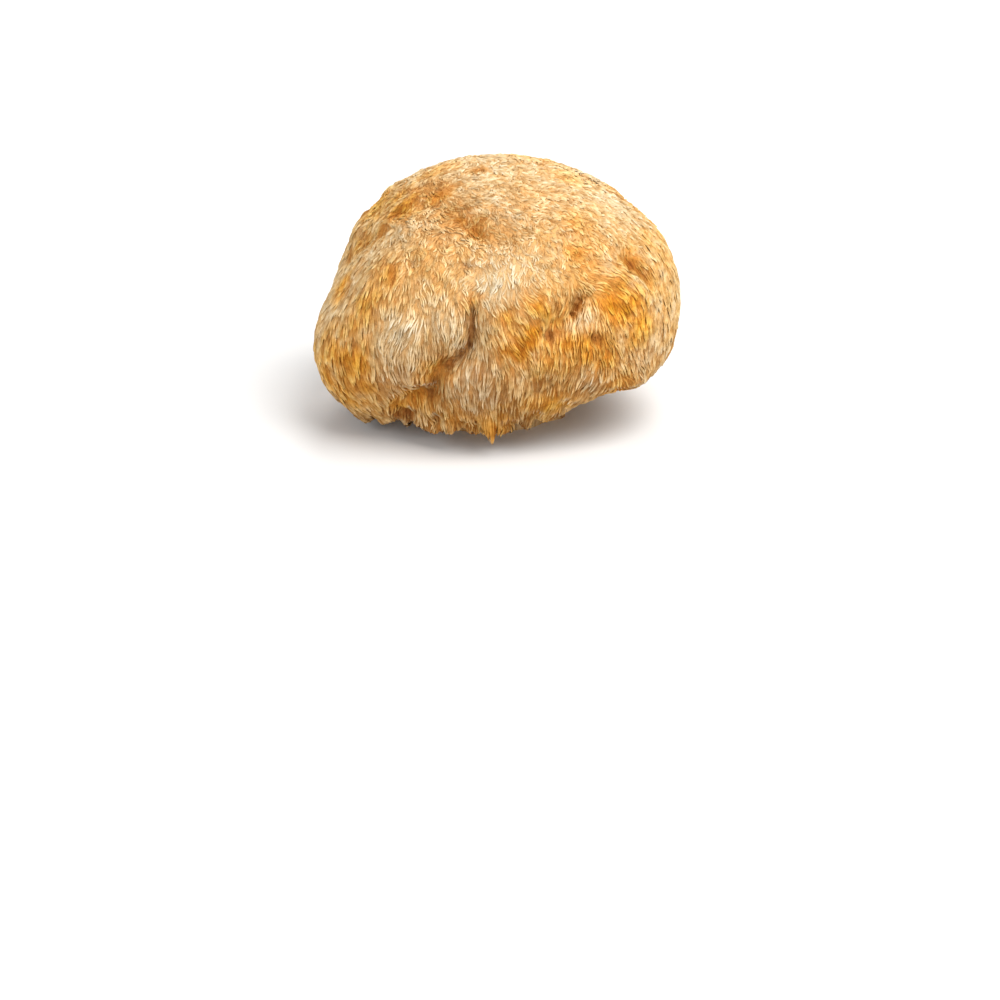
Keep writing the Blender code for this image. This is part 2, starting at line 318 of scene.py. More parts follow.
# Colours: pixel, radius in millimetres, strength. Amber is where the flesh has browned.
AMBER_SPREAD = 1.3  # how much wider than these radii the amber is
AMBER = (
    (398, 214, 1.8, 1.0), (406, 207, 2.8, 0.9), (400, 197, 2.2, 0.7), (436, 198, 2.0, 0.8),
    (445, 192, 1.6, 0.6), (478, 171, 1.4, 0.5), (455, 214, 1.8, 0.5), (461, 221, 1.3, 0.7),
    (476, 233, 1.6, 0.7), (382, 232, 1.7, 0.6), (371, 243, 1.7, 0.6), (360, 247, 1.3, 0.5),
    (352, 257, 1.3, 0.6), (390, 277, 1.8, 0.7), (386, 286, 2.0, 0.4), (345, 285, 2.0, 0.8),
    (341, 298, 1.4, 0.6), (376, 299, 2.0, 0.7), (366, 307, 2.2, 0.8), (369, 317, 1.8, 0.7),
    (357, 326, 1.6, 0.7), (346, 333, 1.4, 0.6), (363, 343, 1.8, 0.5), (335, 352, 2.4, 0.8),
    (347, 357, 2.0, 0.9), (357, 363, 2.2, 0.9), (352, 378, 2.8, 0.6), (328, 375, 2.0, 0.6),
    (364, 384, 1.6, 0.7), (346, 392, 2.2, 0.6), (378, 405, 3.0, 0.3), (436, 365, 2.0, 0.7),
    (431, 374, 1.7, 0.7), (418, 394, 1.9, 0.8), (397, 402, 1.8, 0.7), (432, 395, 1.6, 0.6),
    (473, 301, 1.2, 0.6), (507, 318, 1.6, 0.8), (516, 321, 1.3, 0.6), (513, 333, 1.5, 0.6),
    (530, 304, 1.3, 0.7), (538, 307, 1.3, 0.9), (546, 313, 1.3, 0.8), (542, 323, 1.7, 0.6),
    (533, 334, 1.8, 1.0), (529, 343, 1.7, 1.0), (519, 352, 1.8, 1.0), (511, 350, 1.6, 0.7),
    (527, 357, 1.4, 0.7), (545, 358, 1.6, 0.7), (538, 372, 1.4, 0.5), (505, 354, 1.3, 0.5),
    (546, 345, 1.6, 0.7), (568, 343, 1.7, 0.9), (586, 344, 2.0, 0.9), (586, 355, 1.4, 0.9),
    (601, 345, 2.2, 0.7), (605, 359, 2.2, 0.8), (573, 357, 1.7, 0.7), (553, 354, 1.7, 0.7),
    (612, 306, 2.2, 1.0), (625, 312, 2.0, 1.0), (633, 302, 2.2, 0.9), (621, 288, 2.4, 0.8),
    (610, 291, 2.4, 0.7), (627, 297, 2.2, 0.8), (616, 317, 2.0, 0.8), (640, 323, 2.2, 0.9),
    (636, 336, 2.0, 0.7), (629, 264, 1.5, 0.9), (637, 272, 1.3, 0.8), (646, 281, 1.7, 0.6),
    (575, 224, 2.2, 0.4), (577, 252, 1.8, 0.6), (593, 264, 1.4, 0.5), (594, 280, 1.3, 0.5),
    (560, 314, 1.6, 0.6), (556, 322, 1.5, 0.8), (554, 402, 1.9, 0.7), (545, 413, 1.7, 0.5),
    (491, 428, 2.4, 0.7), (455, 418, 2.4, 0.4), (530, 408, 2.0, 0.4), (620, 384, 2.4, 0.5),
    (582, 299, 0.8, 0.8), (577, 307, 0.9, 0.8), (573, 315, 0.8, 0.8), (540, 196, 4.0, 0.25),
    (428, 194, 4.0, 0.45), (457, 220, 3.4, 0.45), (490, 240, 2.0, 0.3), (420, 212, 3.0, 0.3),
)
# Where it has browned most.
RUST = (
    (399, 214, 1.3, 0.9), (410, 208, 1.4, 0.3), (434, 196, 1.5, 0.5), (443, 191, 1.0, 0.4),
    (479, 171, 1.2, 0.6), (461, 221, 1.3, 0.7), (476, 232, 1.2, 0.5), (369, 243, 1.6, 0.6),
    (384, 231, 1.3, 0.5), (348, 285, 1.8, 0.6), (390, 275, 1.4, 0.5), (342, 355, 2.2, 0.6),
    (358, 364, 1.4, 0.4), (330, 376, 1.6, 0.6), (491, 434, 1.8, 0.6), (521, 351, 1.5, 0.9),
    (513, 347, 1.3, 0.8), (531, 340, 1.4, 0.5), (527, 357, 1.1, 0.6), (576, 309, 1.0, 0.5),
    (586, 353, 1.4, 0.55), (568, 345, 1.4, 0.45), (601, 346, 1.4, 0.3), (554, 354, 1.1, 0.3),
    (632, 265, 1.0, 0.5), (649, 281, 1.2, 0.3), (615, 313, 1.4, 0.2), (626, 318, 1.2, 0.2),
    (353, 257, 1.1, 0.4), (425, 180, 1.6, 0.3),
)
# Paler flesh. The marks at (614, 206) and (622, 366) are painted light where the light falls, on
# the crown's upper right and on the lower right.
PALE_AND_HIGHLIGHTS = (
    (495, 286, 4.2, 1.0), (397, 334, 3.3, 0.9), (412, 329, 2.4, 1.0), (447, 322, 3.0, 0.7),
    (441, 331, 2.2, 0.6), (587, 322, 2.0, 0.9), (575, 325, 1.7, 0.6), (613, 272, 2.4, 0.6),
    (632, 283, 1.5, 0.9), (404, 227, 2.8, 0.6), (368, 258, 3.0, 0.5), (331, 312, 2.6, 0.7),
    (418, 352, 3.0, 0.5), (405, 372, 3.4, 0.6), (472, 400, 5.5, 0.35), (596, 379, 3.0, 0.6),
    (651, 350, 2.4, 0.5), (655, 312, 2.2, 0.4), (614, 206, 4.0, 0.7), (495, 163, 2.0, 0.6),
    (525, 262, 2.4, 0.4), (428, 226, 1.8, 0.5), (535, 355, 1.2, 0.6), (514, 365, 1.4, 0.5),
    (470, 378, 5.0, 0.5), (622, 366, 4.0, 0.15), (340, 335, 4.0, 0.3), (425, 345, 3.4, 0.4),
    (378, 318, 5.0, 0.45), (396, 378, 4.0, 0.45), (352, 292, 6.0, 0.35), (368, 255, 5.0, 0.4),
    (495, 300, 6.0, 0.35), (560, 190, 6.0, 0.15),
)
# Painted shade: dark brown in the folds, pits and creases, and faint over broad parts low down and
# at the right edge, where shade falls. The faint broad marks on the crown's left and brow are also
# its darker brown flesh. The spines under all these marks lie lower.
PAINTED_SHADE = (
    (428, 196, 5.0, 0.22), (458, 222, 4.5, 0.24), (372, 394, 5.0, 0.20), (490, 392, 6.0, 0.10),
    (500, 226, 5.0, 0.18), (670, 285, 3.0, 0.10), (472, 312, 0.9, 0.6), (471, 320, 1.0, 0.9),
    (471, 328, 1.0, 1.0), (470, 336, 1.0, 1.0), (470, 343, 1.1, 1.0), (468, 350, 1.0, 0.6),
    (461, 357, 1.1, 0.7), (450, 363, 1.4, 1.0), (440, 371, 1.6, 0.6), (434, 380, 1.6, 0.8),
    (433, 391, 1.5, 1.0), (402, 212, 2.4, 0.3), (412, 203, 1.6, 0.35), (437, 207, 1.0, 0.4),
    (447, 214, 1.1, 0.45), (470, 229, 1.0, 0.4), (419, 396, 1.3, 0.45), (398, 414, 1.2, 0.9),
    (408, 412, 1.2, 1.0), (581, 301, 0.7, 1.0), (577, 307, 0.8, 1.0), (574, 313, 0.7, 1.0),
    (548, 337, 1.0, 1.0), (595, 338, 0.9, 0.9), (624, 260, 1.0, 0.8), (630, 266, 1.3, 1.0),
    (637, 273, 1.1, 0.9), (643, 280, 0.9, 0.6), (384, 234, 1.6, 0.4), (372, 243, 1.5, 0.4),
    (461, 220, 1.1, 0.6), (477, 234, 1.1, 0.6), (467, 267, 0.8, 0.5), (412, 265, 0.7, 0.6),
    (353, 257, 1.0, 0.5), (535, 384, 0.8, 0.6), (552, 389, 1.2, 0.4), (557, 320, 0.8, 0.6),
    (398, 214, 1.6, 0.6), (478, 372, 1.2, 0.4), (446, 383, 0.9, 0.5), (463, 382, 0.6, 0.4),
    (626, 314, 0.8, 0.5),
)
# The same on the hidden sides, by direction.
HIDDEN_AMBER = (
    (20, 28, 3.4, 0.9), (27, 12, 3.0, 0.7), (35, -8, 4.5, 0.6), (70, 24, 3.0, 0.9),
    (82, 10, 2.6, 0.8), (84, -12, 4.5, 0.7), (62, -20, 3.0, 0.6), (120, 33, 3.4, 0.8),
    (142, 22, 3.0, 0.9), (134, -2, 4.0, 0.6), (158, 34, 2.6, 0.7), (182, -10, 4.0, 0.7),
    (60, 58, 3.6, 0.5), (110, -22, 3.6, 0.7), (100, 50, 3.0, 0.5), (10, -20, 3.0, 0.6),
    (46, 14, 2.6, 0.8), (168, -24, 3.0, 0.6), (0, 60, 2.6, 0.5), (150, 62, 2.6, 0.5),
)
HIDDEN_RUST = (
    (20, 28, 1.8, 0.7), (70, 24, 1.6, 0.7), (142, 22, 1.6, 0.7), (84, -12, 2.2, 0.5),
    (35, -8, 2.2, 0.5), (182, -10, 2.0, 0.5), (46, 14, 1.4, 0.7), (120, 33, 1.6, 0.6),
    (60, 58, 1.6, 0.4), (134, -2, 1.8, 0.5),
)
HIDDEN_PALE = (
    (48, 2, 5.0, 0.7), (100, -2, 4.0, 0.6), (122, 10, 4.0, 0.7), (172, 6, 4.0, 0.6),
    (8, -4, 4.0, 0.5), (84, 44, 5.0, 0.6), (150, -18, 4.0, 0.5), (192, 2, 3.0, 0.6),
    (30, 44, 4.0, 0.5), (72, -26, 3.0, 0.5),
)
# Painted shade in the folds of the hidden sides.
HIDDEN_PAINTED_SHADE = (
    (84, 14, 1.2, 0.7), (81, 4, 1.2, 0.6), (76, -10, 1.2, 0.6), (150, 28, 1.2, 0.6),
    (136, 22, 1.4, 0.7), (124, 25, 1.2, 0.6), (23, 20, 1.2, 0.6), (24, 6, 1.2, 0.7),
    (101, 8, 1.1, 1.0), (45, 13, 1.0, 0.9), (147, -6, 1.0, 0.9), (180, -6, 1.2, 0.6),
)
# The ragged edges of all these marks, in larger and smaller lobes: size and strength.
BLOTCH_SIZE, BLOTCH_RAGGED = 2.0 * MM, 0.6
SPECK_SIZE, SPECK_RAGGED = 0.8 * MM, 0.45
# Heights between which the flesh gets paler upwards, partly its own colour and partly painted light
# from above, and darker and browner downwards, which is painted shade, how far the borders stray
# from them, and the size of their lobes.
PALE_AND_LIT_HEIGHTS, HIGH_RAGGED, HIGH_PATCH = (38 * MM, 54 * MM), 6 * MM, 8 * MM
LOW_SHADE_HEIGHTS, LOW_RAGGED, LOW_PATCH = (30 * MM, 6 * MM), 5 * MM, 7 * MM
# Tufts that hang lower than the lip: pixel, radius and how much lower, in millimetres.
TUFTS = ((492, 430, 1.4, 4.4),)
TUFT_BEND, TUFT_PULL = 1.5, 0.8  # how late along a spine it sets in, and how strong it is


# ---- the form of the head

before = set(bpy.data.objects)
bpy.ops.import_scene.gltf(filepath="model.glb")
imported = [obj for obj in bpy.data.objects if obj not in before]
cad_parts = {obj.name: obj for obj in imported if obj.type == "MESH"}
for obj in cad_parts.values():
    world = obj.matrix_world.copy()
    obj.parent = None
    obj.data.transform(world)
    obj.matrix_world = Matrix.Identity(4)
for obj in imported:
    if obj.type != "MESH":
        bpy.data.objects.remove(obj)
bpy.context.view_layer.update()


def node_tree(name):
    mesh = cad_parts[name].data
    corners = [v.co for v in mesh.vertices]
    return BVHTree.FromPolygons(corners, [tuple(p.vertices) for p in mesh.polygons])


def reach(tree, directions):
    """Distance from the head's centre to a surface round it, in each direction."""
    return np.array([tree.ray_cast(HEAD_CENTRE, Vector(d))[3] for d in directions])


class Form:
    """The surface that the spines grow from.

    It is the solid with its raised locks smoothed away, with small clumps, and with the
    folds of the photograph pressed into it.
    """

    DIVISIONS = 7  # of the icosphere whose corners are moved out to the surface
    ROUNDS, SMOOTHING = 18, 0.6
    LIFT = (0.15 * MM, -0.30 * MM)  # above the solid's surface, at the sides and the crown
    LIFT_CHANGE = (20, 55)  # elevations
    CLUMP_SIZE, CLUMP_HEIGHT = 1.9 * MM, 0.30 * MM  # of the small clumps that the fur lies in
    CLUMP_STRETCH = (1, 1, 0.6)  # a clump is longer up and down
    CORNER_BLUR = 0.05 * MM  # evens out how much each corner of a triangle counts

    def __init__(self, solid):
        bm = bmesh.new()
        bmesh.ops.create_icosphere(bm, subdivisions=self.DIVISIONS, radius=1)
        directions = normalised(np.array([v.co for v in bm.verts]))
        edges = np.array([[v.index for v in e.verts] for e in bm.edges]).T
        self.triangles = np.array([[v.index for v in f.verts] for f in bm.faces])
        bm.free()
        elevation = np.degrees(np.arcsin(directions[:, 2]))
        furred = ramp(elevation, *FUR_FADE)
        distance = self.smoothed(reach(solid, directions), edges, furred)
        distance += furred * mix(*self.LIFT, ramp(elevation, *self.LIFT_CHANGE))
        self.rebuild(CENTRE + directions * distance[:, None])
        clumps = field(self.points * self.CLUMP_STRETCH, self.CLUMP_SIZE, CLUMPS)
        distance += furred * self.CLUMP_HEIGHT * clumps
        distance -= self.fold_depth(FOLDS, seen_at)
        distance -= self.fold_depth(HIDDEN_FOLDS, out_at)
        self.rebuild(CENTRE + directions * distance[:, None])

    def smoothed(self, distance, edges, furred):
        a, b = edges
        count = len(distance)
        neighbours = np.bincount(a, minlength=count) + np.bincount(b, minlength=count)
        for _ in range(self.ROUNDS):
            total = np.bincount(a, distance[b], count) + np.bincount(b, distance[a], count)
            distance = distance + furred * self.SMOOTHING * (total / neighbours - distance)
        return distance

    def fold_depth(self, folds, place):
        depth = np.zeros(len(self.points))
        for half_width, deep, *line in folds:
            places = [place(self.tree, *spot) for spot in line]
            depth += deep * MM * bell(from_line(self.points, places), half_width * MM)
        return depth

    def rebuild(self, points):
        self.points = points
        self.tree = BVHTree.FromPolygons(points.tolist(), self.triangles.tolist())
        a, b, c = self.corners = points[self.triangles.T]
        self.face_normals = np.cross(b - a, c - a)  # twice as long as the face's area
        normals = np.zeros_like(points)
        for ids in self.triangles.T:
            np.add.at(normals, ids, self.face_normals)
        self.normals = normalised(normals)

    def random_places(self, count):
        """Points spread at random over the surface."""
        a, b, c = self.corners
        area = np.linalg.norm(self.face_normals, axis=1)
        chosen = RNG.choice(len(area), count, p=area / area.sum())
        u, v = RNG.random((2, count, 1))
        u, v = np.where(u + v > 1, 1 - u, u), np.where(u + v > 1, 1 - v, v)
        return a[chosen] * (1 - u - v) + b[chosen] * u + c[chosen] * v

    def nearest(self, points):
        """The nearest place on the surface to each point, and the smooth normal there."""
        found = [self.tree.find_nearest(p) for p in points.tolist()]
        places = np.array([f[0] for f in found])
        corners = self.triangles[[f[2] for f in found]]
        apart = np.linalg.norm(self.points[corners] - places[:, None], axis=2)
        weights = 1 / (apart + self.CORNER_BLUR)
        return places, normalised(np.sum(self.normals[corners] * weights[..., None], axis=1))


# ---- where spines stand


def spaced(points, spacing):
    """Indices of points, taken in order, each its spacing away from those before it."""
    cell_size = spacing.max()
    cells = (points // cell_size).astype(int).tolist()
    beside = list(itertools.product((-1, 0, 1), repeat=3))
    taken = {}
    kept = []
    for i, (point, (x, y, z), gap) in enumerate(zip(points.tolist(), cells, spacing)):
        near = (taken.get((x + dx, y + dy, z + dz), ()) for dx, dy, dz in beside)
        if all(math.dist(point, other) >= gap for cell in near for other in cell):
            taken.setdefault((x, y, z), []).append(point)
            kept.append(i)
    return np.array(kept)


def felted(points):
    """1 where the spines are short and felted, 0 where they hang."""
    ragged = FELT_RAGGED * field(points, FELT_PATCH, FELT_EDGE)
    return ramp(elevation_of(points) + ragged, HANGING_BELOW, FELTED_ABOVE)


def find_roots(form):
    places = form.random_places(CANDIDATES)
    places = places[elevation_of(places) > SKIN_EDGE]
    return places[spaced(places, mix(*SPACING, felted(places)))]


def find_locks(roots):
    """The small lock that each spine is in, and the spine at the middle of each lock."""
    middles = spaced(roots, mix(*LOCK, felted(roots)))
    tree = KDTree(len(middles))
    for i, m in enumerate(middles):
        tree.insert(roots[m], i)
    tree.balance()
    return np.array([tree.find(root)[1] for root in roots]), middles


def draw(lock, low, high, own):
    """A random number for each spine. own is the share that isn't its whole lock's."""
    shared = RNG.random(lock.max() + 1)[lock]
    return mix(low, high, mix(shared, RNG.random(len(lock)), own))


# ---- the paths of spines


class Combing:
    """Which way the spines lie.

    It is downhill, and inwards under the lip, where no stroke or whorl turns them.
    """

    def __init__(self, form):
        self.strokes = [
            (seen_at(form.tree, x, y), in_photo(angle), STROKE_REACH) for x, y, angle in STROKES
        ]
        x, y, radius = RING
        for turn in range(0, 360, RING_STEP):
            a = math.radians(turn)
            place = seen_at(form.tree, x + radius * math.cos(a), y + radius * math.sin(a))
            self.strokes.append((place, in_photo(turn + 90), RING_REACH))

    def lie(self, points, normals, felt):
        """The way along the surface at each of these points."""
        whorl = WHORL_TURN * field(points, WHORL_SIZE, WHORLS)
        level = np.stack([np.cos(whorl), np.sin(whorl), 0 * whorl], axis=1)
        way = flattened(DOWN, normals)
        way += flattened(level, normals) * (LEAST_WHORL + FELT_WHORL * felt)[:, None]
        under = ramp(-normals[:, 2], *UNDERSIDE)[:, None]
        inward = normalised(under * flattened((CENTRE - points) * LEVEL, normals))
        way = normalised(normalised(way) + INWARD * inward) * UNCOMBED
        for place, aim, distance in self.strokes:
            strength = bell(np.linalg.norm(points - place, axis=1), distance)
            way += flattened(aim, normals) * strength[:, None]
        way = normalised(way)
        turn = np.radians(mix(*SWERVE, felt)) * field(points, SWERVE_SIZE, SWERVES)
        fine = np.radians(mix(*FINE_SWERVE, felt))
        turn += fine * field(points, FINE_SWERVE_SIZE, FINE_SWERVES)
        return turned(way, normals, turn)


def grow_spines(form, roots, lock):
    """The points that each spine follows.

    With them come their heights in the layer, from 0 to 1, the way that the surface under
    them faces, and how far they are in the rim of the lip, from 0 to 1.
    """
    combing = Combing(form)
    felt = felted(roots)
    lip = ramp(elevation_of(roots), LIP_FROM, FUR_EDGE)
    length = mix(mix(*LENGTH, felt), LIP_LENGTH, lip)
    length *= mix(draw(lock, *LENGTHS, own=0.4), 1.0, LIP_EVENNESS * lip)
    step = length / SPINE_RINGS
    pile = mix(*PILE, felt)
    top = draw(lock, *TOPS, own=0.2)
    astray = RNG.random(len(roots)) < STRAYS
    wander = np.radians(mix(*WANDER, felt)) * draw(lock, -1, 1, own=0.55)
    curl = np.radians(mix(*CURL, felt)) * draw(lock, *CURLS, own=0.3)
    phase = draw(lock, 0, 2 * math.pi, own=0.2)
    waves = draw(lock, *WAVES, own=0.3)

    ground, normals = form.nearest(roots)
    above = 1 - ramp(-normals[:, 2], *ABOVE_EDGE)
    points, heights, faced, rims = [], [], [], []
    for stop in range(SPINE_RINGS + 1):
        share = stop / SPINE_RINGS
        if stop:
            way = combing.lie(ground, normals, felt)
            way = turned(way, normals, wander + curl * np.sin(phase + waves * share))
            ground, normals = form.nearest(ground + way * step[:, None])
        height = top * RISE[stop] + astray * STRAY_RISE * share**2
        sunk = 1 - SUNK * mark_strength(ground, form.tree, PAINTED_SHADE, HIDDEN_PAINTED_SHADE)
        point = ground + normals * (height * pile * sunk)[:, None]
        rim = above * ramp(-normals[:, 2], *AT_EDGE)
        if stop:
            free = points[-1] + (DOWN + HANG_DRIFT * way) * (step * HANG)[:, None]
            point = mix(point, free, rim[:, None])
        points.append(point)
        heights.append(np.clip(height, 0, 1))
        faced.append(normals)
        rims.append(rim)
    return tuple(np.stack(stops, axis=1) for stops in (points, heights, faced, rims))


def gathered(paths, lock, middles):
    """The paths with the spines of each lock drawn together towards their tips."""
    centres = paths[middles][lock]
    share = np.linspace(0, 1, paths.shape[1])[None, :]
    pull = mix(*PULL, felted(paths[:, 0]))
    lip = ramp(elevation_of(paths[:, -1]), LIP_PULL_FROM, FUR_FADE[1])
    return mix(paths, centres, (share * mix(pull, LIP_PULL, lip)[:, None])[..., None])


def hung(paths, tree):
    """The paths with those of each tuft drawn down and together towards their tips."""
    share = np.linspace(0, 1, paths.shape[1])[None, :, None] ** TUFT_BEND
    for x, y, radius, lower in TUFTS:
        place = seen_at(tree, x, y)
        strength = bell(np.linalg.norm(paths[:, -1] - place, axis=1), radius * MM)
        paths = mix(paths, place + DOWN * lower * MM, TUFT_PULL * share * strength[:, None, None])
    paths[:, :, 2] = np.maximum(paths[:, :, 2], LOWEST)
    return paths


# ---- values that set the colours


def mark_strength(points, tree, seen, hidden, spread=1.0):
    """How strongly these marks colour each point, from 0 to 1."""
    blotches, specks = field(points, BLOTCH_SIZE, BLOTCHES), field(points, SPECK_SIZE, SPECKS)
    ragged = 1 + BLOTCH_RAGGED * blotches + SPECK_RAGGED * specks
    ragged /= spread
    strength = np.zeros(len(points))
    marks = [(seen_at, mark) for mark in seen] + [(out_at, mark) for mark in hidden]
    for place, (across, up, radius, amount) in marks:
        apart = np.linalg.norm(points - place(tree, across, up), axis=1)
        strength = np.maximum(strength, amount * bell(apart * ragged, radius * MM))
    return strength


def colour_marks(points, tree):
    shape = points.shape[:-1]
    flat = points.reshape(-1, 3)
    # Heights for the paler top, partly painted light, and for the painted shade lower down.
    high = flat[:, 2] + HIGH_RAGGED * field(flat, HIGH_PATCH, HIGH_EDGE)
    low = flat[:, 2] + LOW_RAGGED * field(flat, LOW_PATCH, LOW_EDGE)
    marks = {
        "amber": mark_strength(flat, tree, AMBER, HIDDEN_AMBER, AMBER_SPREAD),
        "rust": mark_strength(flat, tree, RUST, HIDDEN_RUST),
        "pale": mark_strength(flat, tree, PALE_AND_HIGHLIGHTS, HIDDEN_PALE),
        "painted_shade": mark_strength(flat, tree, PAINTED_SHADE, HIDDEN_PAINTED_SHADE),
        "high": ramp(high, *PALE_AND_LIT_HEIGHTS),
        "low": ramp(low, *LOW_SHADE_HEIGHTS),
    }
    return {name: strength.reshape(shape) for name, strength in marks.items()}


def add_values(mesh, values):
    """Gives the mesh these numbers for each of its corners, by name."""
    for name, value in values.items():
        layer = mesh.attributes.new(name, "FLOAT", "POINT")
        layer.data.foreach_set("value", value.astype(np.float32).ravel())


# ---- the meshes of spines

CORNERS_AT_STOPS = [SPINE_SIDES] * SPINE_RINGS + [1]
OUTWARD_STRETCH = (1, 1, 0.4)  # keeps the ribs of a spine upright where it hangs
UV_COLUMNS = 4  # how many times more columns than rows a map of spines has
UV_SHARE, UV_MARGIN = 0.84, 0.08  # of a spine's own cell in the map

# The pieces that the spines are joined in, by the azimuths that each is between.
CROWN_ABOVE = 42  # elevation
CROWN_SECTORS = {"front": (-150, -30), "right": (-30, 90), "back": (90, 210)}
SIDE_SECTORS = {
    "left": (150, 215),
    "front_left": (-145, -90),
    "front_right": (-90, -30),
    "right": (-30, 50),
    "back": (50, 150),
}


def zones(points):
    """Which spines each piece has, by its name."""
    crown = elevation_of(points) > CROWN_ABOVE
    azimuth = azimuth_of(points)
    found = {}
    for part, inside, sectors in (("crown", crown, CROWN_SECTORS), ("side", ~crown, SIDE_SECTORS)):
        for name, (start, end) in sectors.items():
            found[f"{part}_spines_{name}"] = inside & ((azimuth - start) % 360 < end - start)
    return found


def tubes(paths, radius, faced):
    """The corners of a tapering tube along each path, its tip last, and their normals."""
    along = normalised(np.gradient(paths, axis=1))
    across = normalised(np.cross(along, (paths[:, :1] - CENTRE) * OUTWARD_STRETCH))
    out = np.cross(across, along)
    angles = math.pi / 2 + np.arange(SPINE_SIDES) * 2 * math.pi / SPINE_SIDES
    spokes = across[:, :-1, None] * np.cos(angles)[:, None]
    spokes = spokes + out[:, :-1, None] * np.sin(angles)[:, None]
    walls = paths[:, :-1, None] + spokes * np.outer(radius, TAPER)[..., None, None]
    count = len(paths)
    corners = np.concatenate([walls.reshape(count, -1, 3), paths[:, -1:]], axis=1)
    normals = np.concatenate([spokes.reshape(count, -1, 3), along[:, -1:]], axis=1)
    return corners, normalised(mix(normals, np.repeat(faced, CORNERS_AT_STOPS, axis=1), SOFTNESS))


def tube_faces():
    """The faces of one tube, and the place of each of their corners in the tube's UV map."""
    faces, places = [], []
    for ring, side in itertools.product(range(SPINE_RINGS), range(SPINE_SIDES)):
        low, high = ring * SPINE_SIDES, (ring + 1) * SPINE_SIDES
        after = (side + 1) % SPINE_SIDES
        if ring < SPINE_RINGS - 1:
            faces.append((high + side, high + after, low + after, low + side))
            places += [(side, ring + 1), (side + 1, ring + 1), (side + 1, ring), (side, ring)]
        else:
            faces.append((low + after, low + side, high))
            places += [(side + 1, ring), (side, ring), (side + 0.5, ring + 1)]
    return faces, places


def map_places(count, places):
    """The UV map of this many tubes, with a cell for each."""
    columns = math.ceil(math.sqrt(count * UV_COLUMNS))
    grid = np.array((columns, math.ceil(count / columns)))
    cells = np.stack([np.arange(count) % columns, np.arange(count) // columns], axis=1)
    inside = np.array(places) / (SPINE_SIDES, SPINE_RINGS) * UV_SHARE + UV_MARGIN
    return (cells[:, None] + inside[None]) / grid


def spine_mesh(name, paths, radius, faced, values):
    """One mesh of spines along these paths. faced and values are for each of their stops."""
    corners, normals = tubes(paths, radius, faced)
    faces, places = tube_faces()
    count, each = corners.shape[:2]
    firsts = range(0, count * each, each)
    all_faces = [[first + corner for corner in face] for first in firsts for face in faces]
    mesh = bpy.data.meshes.new(name)
    mesh.from_pydata(corners.reshape(-1, 3).tolist(), [], all_faces)
    spots = map_places(count, places).astype(np.float32)
    mesh.uv_layers.new(name="OFBake").data.foreach_set("uv", spots.ravel())
    stops = {key: np.repeat(value, CORNERS_AT_STOPS, axis=1) for key, value in values.items()}
    add_values(mesh, stops)
    mesh.validate()
    mesh.shade_smooth()
    mesh.normals_split_custom_set_from_vertices(normals.reshape(-1, 3).tolist())
    return link(name, mesh)


# ---- the skin

SKIN_TURNS = 200
ROUND = np.arange(SKIN_TURNS) * 2 * math.pi / SKIN_TURNS  # the angle of each turn
FURRED_RINGS, HOLLOW_RINGS, CUT_RINGS = 72, 40, 6
TOP_RING = 89  # elevation
SKIN_HEIGHT = (0.12 * MM, 0.04 * MM)  # above the form, at the sides and the crown
SKIN_CHANGE = (15, 45)  # elevations
CUT_PROBE = 0.2 * MM  # height at which the width of the cut is taken
CUT_BELOW = 0.01 * MM
HOLLOW_ROUNDS = 5  # of smoothing
HOLLOW_SHARES = (0.4, 0.4, 0.2)  # of a place, of those beside it, of those above and below
BARE_FROM = SKIN_EDGE - 1  # elevation
FURROWS = ((0.9, 6, 1.6), (0.5, 17, 5))  # height in millimetres, frequency round and along
SHARP = math.radians(55)


def ring_of(tree, elevations, height=0.0):
    """Points all round the head at these elevations, one for each turn."""
    turns = np.arange(SKIN_TURNS) * 360 / SKIN_TURNS
    directions = np.array([unit(t, e) for t, e in zip(turns, elevations)])
    return CENTRE + directions * (reach(tree, directions) + height)[:, None]


def furred_rings(form):
    """Rings from the top of the head to the edge of the fur."""
    rings = []
    for e in np.linspace(TOP_RING, SKIN_EDGE, FURRED_RINGS):
        height = mix(*SKIN_HEIGHT, ramp(e, *SKIN_CHANGE))
        rings.append(ring_of(form.tree, np.full(SKIN_TURNS, e), height))
    return rings


def bare_rings(form, solid):
    """Rings through the hollow and down the stub to the cut, and the smooth rim of the cut."""
    low = Vector((0, 0, CUT_PROBE))
    rim = np.array([solid.ray_cast(low, Vector((math.cos(a), math.sin(a), 0)))[3] for a in ROUND])
    rim_elevation = np.degrees(np.arctan2(-HEAD_CENTRE.z, rim))
    shares = np.linspace(0, 1, HOLLOW_RINGS + 1)[1:]
    rings = np.array([ring_of(form.tree, mix(SKIN_EDGE, rim_elevation, s)) for s in shares])
    rings[-1] = np.stack([rim * np.cos(ROUND), rim * np.sin(ROUND), 0 * ROUND], axis=1)
    own, sideways, upright = HOLLOW_SHARES
    for _ in range(HOLLOW_ROUNDS):
        around = (np.roll(rings, 1, axis=1) + np.roll(rings, -1, axis=1)) / 2
        beside = (rings[:-2] + rings[2:]) / 2
        rings[1:-1] = rings[1:-1] * own + around[1:-1] * sideways + beside * upright
    return [furrowed(ring, share) for share, ring in zip(shares, rings)], rings[-1]


def furrowed(ring, share):
    """The ring with the furrows of dried flesh, which fade at the edges of the hollow."""
    height = np.zeros(SKIN_TURNS)
    for most, around, along in FURROWS:
        height += [
            most * noise.noise((math.cos(a) * around, math.sin(a) * around, share * along))
            for a in ROUND
        ]
    swell = math.sin(math.pi * share) ** 0.5
    return ring + normalised(ring - CENTRE) * (height * swell * MM)[:, None]


